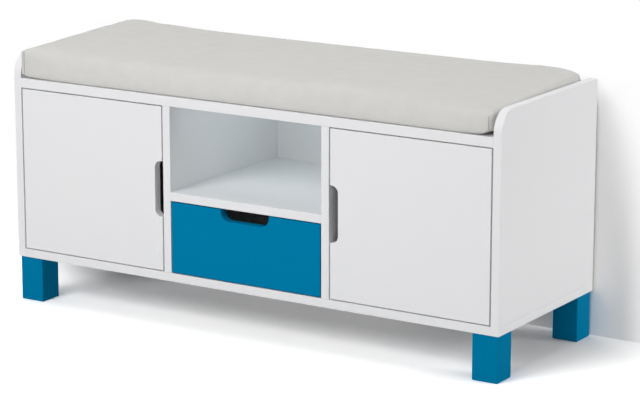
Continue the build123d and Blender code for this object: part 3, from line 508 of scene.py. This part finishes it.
# %% Uneven stuffing and lifted corners
FRONT_FULL, BACK_FULL = 0.88, 1.06      # stuffing along the front and along the back
soft_places = (
    # along the bench and front to back (both -1 to 1), rise, reach in metres
    (-1.0, 0.7, 0.12, 0.13),        # left end, towards the back
    (-1.0, -0.4, 0.12, 0.16),       # left end, towards the front
    (-1.0, -1.0, 0.015, 0.025),     # left front corner
    (1.0, -1.0, -0.16, 0.12),       # right front corner, slack
    (1.0, 1.0, -0.10, 0.05),        # right back corner, slack
    (0.88, 1.0, 0.06, 0.07),        # back edge, beside that corner
    (0.37, -1.0, 0.07, 0.12),       # front edge, right of the middle
    (-0.24, -1.0, -0.02, 0.10),     # front edge, left of the middle
)
LEFT_LIFT, RIGHT_LIFT = 4 * MM, 8.5 * MM        # how far the seams pull the front corners up
LIFT_REACH = 13 * MM
SLOW_LIFT = 1.8 * MM        # a little of the lift dies out slowly
SLOW_REACH = 38 * MM
LIFT_DEPTH = 2.5            # the lift is felt this many times as far towards the back


def fullness(point):
    """How much higher or lower than even the stuffing stands at a point of the cushion."""
    along, across = (point.x - middle_x) / half_length, (point.y - middle_y) / half_depth
    share = FRONT_FULL + (BACK_FULL - FRONT_FULL) * (across + 1) / 2
    for place_along, place_across, rise, reach in soft_places:
        gap = Vector(((along - place_along) * half_length, (across - place_across) * half_depth))
        share += rise * math.exp(-((gap.length / reach) ** 2))
    return share


def corner_lift(point):
    """How far the nearer front corner is pulled up at a point."""
    corner_x, lift = (front_right, RIGHT_LIFT) if point.x > middle_x else (left_end, LEFT_LIFT)
    gap = math.hypot(point.x - corner_x, (point.y - cushion_low.y) / LIFT_DEPTH)
    steep = lift * math.exp(-((gap / LIFT_REACH) ** 2))
    return steep + SLOW_LIFT * math.exp(-((gap / SLOW_REACH) ** 2))


print("cushion has", len(soft_places), "fuller or slacker places")

# %% Sit it on the board
SEAT_TOUCH = 0.4 * MM       # the cloth lies this far above the board
PRESSED = 3 * MM            # the lower edge is pressed flat by this much
LIFT_HEIGHT = 25 * MM       # the corners lift only this far up their sides
seat_level = cushion_low.z + SEAT_TOUCH

for vertex in cushion.data.vertices:
    height = max(vertex.co.z - seat_level - PRESSED, 0) * fullness(vertex.co)
    low_down = max(1 - height / LIFT_HEIGHT, 0)
    vertex.co.z = seat_level + height + corner_lift(vertex.co) * low_down
cushion.data.polygons.foreach_set("use_smooth", [True] * len(cushion.data.polygons))
smooth = cushion.modifiers.new("Fine", "SUBSURF")
smooth.levels = 1
smooth.render_levels = 1
spread = [[vertex.co[axis] / MM for vertex in cushion.data.vertices] for axis in range(3)]
print("cushion box in mm:", [(round(min(side), 1), round(max(side), 1)) for side in spread])

# %% [markdown]
# ## Cover cloth
# The cover is a plain-woven cotton blend, brushed until it feels like thin suede. Close to, the eye
# sees threads; from across a hall it sees a soft mottle and a pale sheen where the cloth turns
# away. Two crossed waves make the threads, drawn coarser than life, and slow noise makes the
# mottle.

# %% Brushed cotton
WAVE_PERIOD = 2 * math.pi / 20      # width of one band of a wave texture at scale 1
WEAVE_HEIGHT = 0.12 * MM


def brushed_cotton(name, colours, thread_mm=3, mottle_mm=28):
    """Plain weave with a brushed nap: crossed threads, mottled tone and a soft sheen."""
    material, tree, shader, place = new_material(name)
    # Real threads are about 0.5 mm apart; they are drawn six times as coarse so that they show
    threads = [add_node(tree, "ShaderNodeTexWave", {
        "Vector": place, "Scale": WAVE_PERIOD * per_metre(thread_mm), "Distortion": 1.2,
        "Detail": 2.0, "Detail Scale": 2.0}, bands_direction=axis).outputs["Fac"] for axis in "XY"]
    weave = add_node(tree, "ShaderNodeMath", {0: threads[0], 1: threads[1]}, operation="ADD")
    bump = add_node(tree, "ShaderNodeBump", {
        "Height": weave.outputs["Value"], "Strength": 0.3, "Distance": WEAVE_HEIGHT})
    mottle = add_node(tree, "ShaderNodeTexNoise", {
        "Vector": place, "Scale": per_metre(mottle_mm), "Detail": 6.0, "Roughness": 0.65})
    tone = add_node(tree, "ShaderNodeMix", {
        "Factor": mottle.outputs["Fac"], "A": linear(colours[0]), "B": linear(colours[1])},
        data_type="RGBA")
    fill(tree, shader, {
        "Base Color": tone.outputs["Result"], "Roughness": 0.85, "Normal": bump.outputs["Normal"],
        "Sheen Weight": 0.15, "Sheen Roughness": 0.5, "IOR": 1.45})
    return material


cover_cloth = brushed_cotton("brushed_cotton_cover", ("#cdccc9", "#dbdad7"))
cushion.data.materials.clear()
cushion.data.materials.append(cover_cloth)
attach(cushion, "cushion")
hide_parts("cushion_cover", "cushion_foam")
print("made", cover_cloth.name)

# %% [markdown]
# ## Corner seams
# Each upright corner of the cover is closed by a seam: two cloth edges turned in and sewn, which
# leaves a thin ridge with a shadow beside it. A dark line painted on would look flat in close
# views, so it is a thin cord laid on the swollen cloth. Level rays from the front and the back find
# the cloth at every height.

# %% Lay the seams on the cloth
SEAM_RADIUS = 0.9 * MM
SEAM_INSET = 7 * MM         # the seam runs this far in from the corner
SEAM_STEPS = 14
SEAM_FOOT_MM = 3            # height of its lowest point
SEAM_PITCH_MM = 4           # and from each point to the next
RAY_START = 50 * MM         # the rays start this far outside the cloth
RAY_LENGTH = 120 * MM
SEAM_END = 0.6              # the seam ends where the cloth faces up or down by more than this


def seam_points(side, end):
    """Points up the cloth beside one corner: side -1 is left, and end -1 is the front."""
    cloth = as_shown(cushion)
    right = front_right if end < 0 else right_end
    seam_x = right - SEAM_INSET if side > 0 else left_end + SEAM_INSET
    found = []
    for step in range(SEAM_STEPS):
        level = cushion_low.z + (SEAM_FOOT_MM + step * SEAM_PITCH_MM) * MM
        outside = Vector((seam_x, middle_y + end * (half_depth + RAY_START), level))
        inwards = Vector((0, -end, 0))
        hit, place, facing, _ = cloth.ray_cast(outside, inwards, distance=RAY_LENGTH)
        if hit and abs(facing.z) < SEAM_END:
            found.append(place)
    return found


seam_lines = bpy.data.curves.new("corner_seams", "CURVE")
seam_lines.dimensions = "3D"
seam_lines.bevel_depth = SEAM_RADIUS
seam_lines.bevel_resolution = 2
for side in (-1, 1):
    for end in (-1, 1):
        line = seam_points(side, end)
        spline = seam_lines.splines.new("POLY")
        spline.points.add(len(line) - 1)
        for point, place in zip(spline.points, line):
            point.co = (*place, 1.0)
seam_guide = bpy.data.objects.new("seam_guide", seam_lines)
scene.collection.objects.link(seam_guide)
seam_mesh = bpy.data.meshes.new_from_object(as_shown(seam_guide))
bpy.data.objects.remove(seam_guide)
print("seams:", len(seam_mesh.vertices), "points")

# %% Sew them on
seams = bpy.data.objects.new("corner_seams", seam_mesh)
scene.collection.objects.link(seams)
seam_mesh.materials.clear()
seam_mesh.materials.append(brushed_cotton("sewn_seam_cotton", ("#b4ada3", "#c2bbb2")))
seam_mesh.polygons.foreach_set("use_smooth", [True] * len(seam_mesh.polygons))
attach(seams, "cushion")
print("made", seams.name)

# %% [markdown]
# ## Floor and wall
# A product picture of white furniture needs a white ground that still takes a shadow. The floor is
# a wide disc and the wall a plain face close behind the bench. More lamps would turn them white,
# but they would burn out the white board too. So the floor throws back light as a light grey and
# looks paler to the eye, the wall is there for the eye alone, and both turn plain white away from
# the bench. A wall that takes no part in the light can't shade its own foot. So painted shade
# darkens the floor beside both back legs, and a painted paler patch lightens the wall's foot
# behind the right one.

# %% Tones of the studio paint
WHITE_ABOVE = cad_high.z    # nothing shades the wall over the seat
WHITE_BLEND = 0.09          # height below that over which the paint turns white


def shown_rays(tree):
    """1 for what is seen, straight or by reflection, and 0 for what only lights the scene."""
    rays = add_node(tree, "ShaderNodeLightPath").outputs
    shown = rays["Is Camera Ray"]
    for kind in ("Is Glossy Ray", "Is Transmission Ray"):
        shown = add_node(tree, "ShaderNodeMath", {
            0: shown, 1: rays[kind]}, operation="MAXIMUM").outputs["Value"]
    return shown


def painted_shade_and_light(tree, place, lift, shade_and_light_spots):
    """How pale the paint looks, with its spots of painted shade and painted light."""
    pale = lift
    for centre, near, far, factor in shade_and_light_spots:
        away = add_node(tree, "ShaderNodeVectorMath", {0: place, 1: centre}, operation="DISTANCE")
        spot = add_node(tree, "ShaderNodeMapRange", {
            "Value": away.outputs["Value"], "From Min": near, "From Max": far,
            "To Min": factor, "To Max": 1.0}, interpolation_type="SMOOTHSTEP")
        pale = add_node(tree, "ShaderNodeMath", {
            0: pale, 1: spot.outputs["Result"]}, operation="MULTIPLY").outputs["Value"]
    return pale


def whitened(tree, place, core, radii, white_from):
    """How far the paint has turned plain white: 0 round a core box, 1 well beside or above it."""
    beside = add_node(tree, "ShaderNodeVectorMath", {0: place}, operation="ABSOLUTE")
    for operation, by in (("SUBTRACT", core), ("MAXIMUM", (0.0, 0.0, 0.0)), ("DIVIDE", radii)):
        beside = add_node(tree, "ShaderNodeVectorMath", {
            0: beside.outputs["Vector"], 1: by}, operation=operation)
    away = add_node(tree, "ShaderNodeVectorMath", {
        0: beside.outputs["Vector"]}, operation="LENGTH").outputs["Value"]
    height = add_node(tree, "ShaderNodeSeparateXYZ", {"Vector": place}).outputs["Z"]
    limits = ((away, white_from, 1.0), (height, WHITE_ABOVE - WHITE_BLEND, WHITE_ABOVE))
    sideways, upwards = [add_node(tree, "ShaderNodeMapRange", {
        "Value": value, "From Min": low, "From Max": high},
        interpolation_type="SMOOTHSTEP").outputs["Result"] for value, low, high in limits]
    return add_node(tree, "ShaderNodeMath", {
        0: sideways, 1: upwards}, operation="MAXIMUM").outputs["Value"]


print("the wall is plain white from", round(WHITE_ABOVE, 3), "m up")


# %% Paint of the floor and the wall
def studio_paint(name, lift, shade_and_light_spots, core, radii, white_from):
    """Matt paint that takes shadows near the bench, is white beyond, and shows from one side."""
    material = bpy.data.materials.new(name)
    tree = empty_tree(material)
    place = add_node(tree, "ShaderNodeTexCoord").outputs["Object"]
    shown = shown_rays(tree)
    # The paleness the eye sees includes painted shade on the floor and painted light on the wall
    # near the legs
    shade = add_node(tree, "ShaderNodeMix", {
        "Factor": shown, "A": linear("#c0c0c0"), "B": painted_shade_and_light(tree, place, lift, shade_and_light_spots)},
        data_type="RGBA")
    matt = add_node(tree, "ShaderNodeBsdfDiffuse", {"Color": shade.outputs["Result"]})
    faded = add_node(tree, "ShaderNodeMath", {
        0: whitened(tree, place, core, radii, white_from), 1: shown}, operation="MULTIPLY")
    plain = add_node(tree, "ShaderNodeEmission", {"Color": WHITE, "Strength": 1.0})
    front = add_node(tree, "ShaderNodeMixShader", {
        0: faded.outputs["Value"], 1: matt.outputs["BSDF"], 2: plain.outputs["Emission"]})
    clear = add_node(tree, "ShaderNodeBsdfTransparent")
    behind = add_node(tree, "ShaderNodeNewGeometry").outputs["Backfacing"]
    surface = add_node(tree, "ShaderNodeMixShader", {
        0: behind, 1: front.outputs["Shader"], 2: clear.outputs["BSDF"]})
    add_node(tree, "ShaderNodeOutputMaterial", {"Surface": surface.outputs["Shader"]})
    return material


FLOOR_LIFT, WALL_LIFT = 1.60, 1.035     # how pale the eye sees them
# Points on the floor at the two ends of the bench's back
right_foot = (cad_high.x - 0.06, cad_high.y - 0.04, 0.0)
left_foot = (cad_low.x + 0.02, cad_high.y - 0.03, 0.0)
# A spot of painted shade or light has a centre, the distances where it is full and where it
# ends, and a factor: below 1 it is painted shade, above 1 it is painted light
floor_painted_shade = ((right_foot, 0.05, 0.38, 0.62), (left_foot, 0.08, 0.20, 0.45))
wall_painted_light = ((right_foot, 0.05, 0.22, 1.2),)
# The bench's shadow lies all round it on the floor, and close beside its ends on the wall. A core
# is half the size of a box that the shadow needs, and at the radii from it the paint is white
floor_core, floor_radii = (0.0, 0.0, 0.0), (2.4, 2.4, 2.4)
wall_core, wall_radii = (cad_high.x - 0.155, cad_high.y, 0.0), (0.31, 1.0, 0.78)
floor_paint = studio_paint(
    "matt_studio_floor_paint", FLOOR_LIFT, floor_painted_shade, floor_core, floor_radii, white_from=0.45)
wall_paint = studio_paint(
    "matt_studio_wall_paint", WALL_LIFT, wall_painted_light, wall_core, wall_radii, white_from=0.66)
print("made", floor_paint.name, "and", wall_paint.name)

# %% Floor and wall
FLOOR_RADIUS = 6.0
RIM_STEPS = 96
WALL_HEIGHT = 3.0
WALL_GAP = 0.8 * MM         # the bench stands this far from the wall


def backdrop(name, paint, corners):
    """One flat face of the studio, which isn't a part of the bench."""
    mesh = bpy.data.meshes.new(name)
    mesh.from_pydata(corners, [], [range(len(corners))])
    mesh.materials.append(paint)
    piece = bpy.data.objects.new(name, mesh)
    scene.collection.objects.link(piece)
    piece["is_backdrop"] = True
    return piece


rim = [2 * math.pi * step / RIM_STEPS for step in range(RIM_STEPS)]
backdrop("studio_floor", floor_paint, [
    (FLOOR_RADIUS * math.cos(a), FLOOR_RADIUS * math.sin(a), 0) for a in rim])
wall_y = cad_high.y + WALL_GAP
wall = backdrop("studio_wall", wall_paint, [
    (-FLOOR_RADIUS, wall_y, 0), (FLOOR_RADIUS, wall_y, 0),
    (FLOOR_RADIUS, wall_y, WALL_HEIGHT), (-FLOOR_RADIUS, wall_y, WALL_HEIGHT)])
# The wall neither blocks nor throws back light, so the bench's back stays lit
wall.visible_shadow = False
wall.visible_diffuse = False
wall.visible_glossy = False
wall.visible_transmission = False
print("floor", 2 * FLOOR_RADIUS, "m across, wall", round(wall_y, 3), "m behind the middle")

# %% [markdown]
# ## Light
# The sky is white to the eye and gives only a weak even fill, so the soft boxes make the shading.
# The main one stands high at the front left and throws the shadow to the right. A low one fills
# from the front right, two stand at the sides behind the line of the wall, and one hangs over the
# cushion, a little to the right. A very weak one under the seat board keeps the open cubby
# readable. Small bare lamps would be simpler, but their shadows have hard edges.

# %% World
SKY_FILL = 0.27
world = bpy.data.worlds.new("studio_sky")
scene.world = world
sky = empty_tree(world)
strength = add_node(sky, "ShaderNodeMix", {
    "Factor": shown_rays(sky), "A": SKY_FILL, "B": 1.0}, data_type="FLOAT")
back_light = add_node(sky, "ShaderNodeBackground", {
    "Color": WHITE, "Strength": strength.outputs["Result"]})
add_node(sky, "ShaderNodeOutputWorld", {"Surface": back_light.outputs["Background"]})
print("sky fill", SKY_FILL)


# %% Soft boxes
def soft_box(name, place, target, side, watts, colour=(1.0, 1.0, 1.0)):
    """Square area lamp, turned towards a target, that lights but isn't seen itself."""
    lamp = bpy.data.lights.new(name, "AREA")
    lamp.color = colour
    lamp.shape = "SQUARE"
    lamp.size = side
    lamp.energy = watts
    holder = bpy.data.objects.new(name, lamp)
    holder.location = place
    holder.visible_camera = False
    holder.visible_glossy = False
    holder.rotation_euler = (Vector(target) - Vector(place)).to_track_quat("-Z", "Y").to_euler()
    scene.collection.objects.link(holder)


bench_middle = (0.0, 0.0, 0.3)
for name, place, side, watts in (
        ("front_box", (-0.64, -2.81, 2.1), 1.4, 53.5),
        ("low_box", (0.95, -3.17, 0.75), 1.0, 11.5),
        ("side_box", (3.1, 0.95, 0.9), 1.5, 37),
        ("back_box", (-2.0, 1.75, 2.5), 1.5, 20),
        ("top_box", (0.3, 0.0, 2.9), 1.5, 15)):
    soft_box(name, place, bench_middle, side, watts)
cubby_roof, ground = (0.0, 0.0, 0.409), (0.0, 0.0, 0.0)
COOL = (0.82, 1.0, 1.02)    # the shade inside the cubby is a little cool
soft_box("cubby_lamp", cubby_roof, ground, side=0.30, watts=0.1, colour=COOL)

# %% [markdown]
# ## Camera
# The photograph was taken from the right, a little above the seat, with a long lens: the upright
# edges stay nearly parallel. The angles, distance and lens below were worked out from the corners
# of the bench.

# %% Camera
CAMERA_AZIMUTH = 32.3
CAMERA_ELEVATION = 13.4
CAMERA_DISTANCE = 4.753
CAMERA_TARGET = Vector((0.0655, -0.030, 0.2333))
LENS_PIXELS = 2600.0        # focal length in pixels of a picture 640 pixels wide
PICTURE_WIDTH = 640.0
SENSOR_WIDTH = 36.0         # in mm, as lenses are

lens = bpy.data.cameras.new("photo_camera")
lens.sensor_width = SENSOR_WIDTH
lens.lens = SENSOR_WIDTH * LENS_PIXELS / PICTURE_WIDTH
around, above = math.radians(CAMERA_AZIMUTH), math.radians(CAMERA_ELEVATION)
backwards = Vector((
    math.sin(around) * math.cos(above), -math.cos(around) * math.cos(above), math.sin(above)))
camera = bpy.data.objects.new("photo_camera", lens)
camera.location = CAMERA_TARGET + backwards * CAMERA_DISTANCE
camera.rotation_euler = (-backwards).to_track_quat("-Z", "Y").to_euler()
scene.collection.objects.link(camera)
scene.camera = camera
scene.view_settings.view_transform = "Standard"
print("lens", round(lens.lens, 1), "mm")

# %% [markdown]
# The dressed bench keeps the frame's size, and only the cushion's cloth stands a little proud of
# it. So how much the box grows is printed before the scene ends.

# %% Print how much the box grows
seen_low, seen_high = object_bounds()
growth = (seen_high - seen_low) - (cad_high - cad_low)
print("visual box grows by", [round(side, 4) for side in growth], "m")
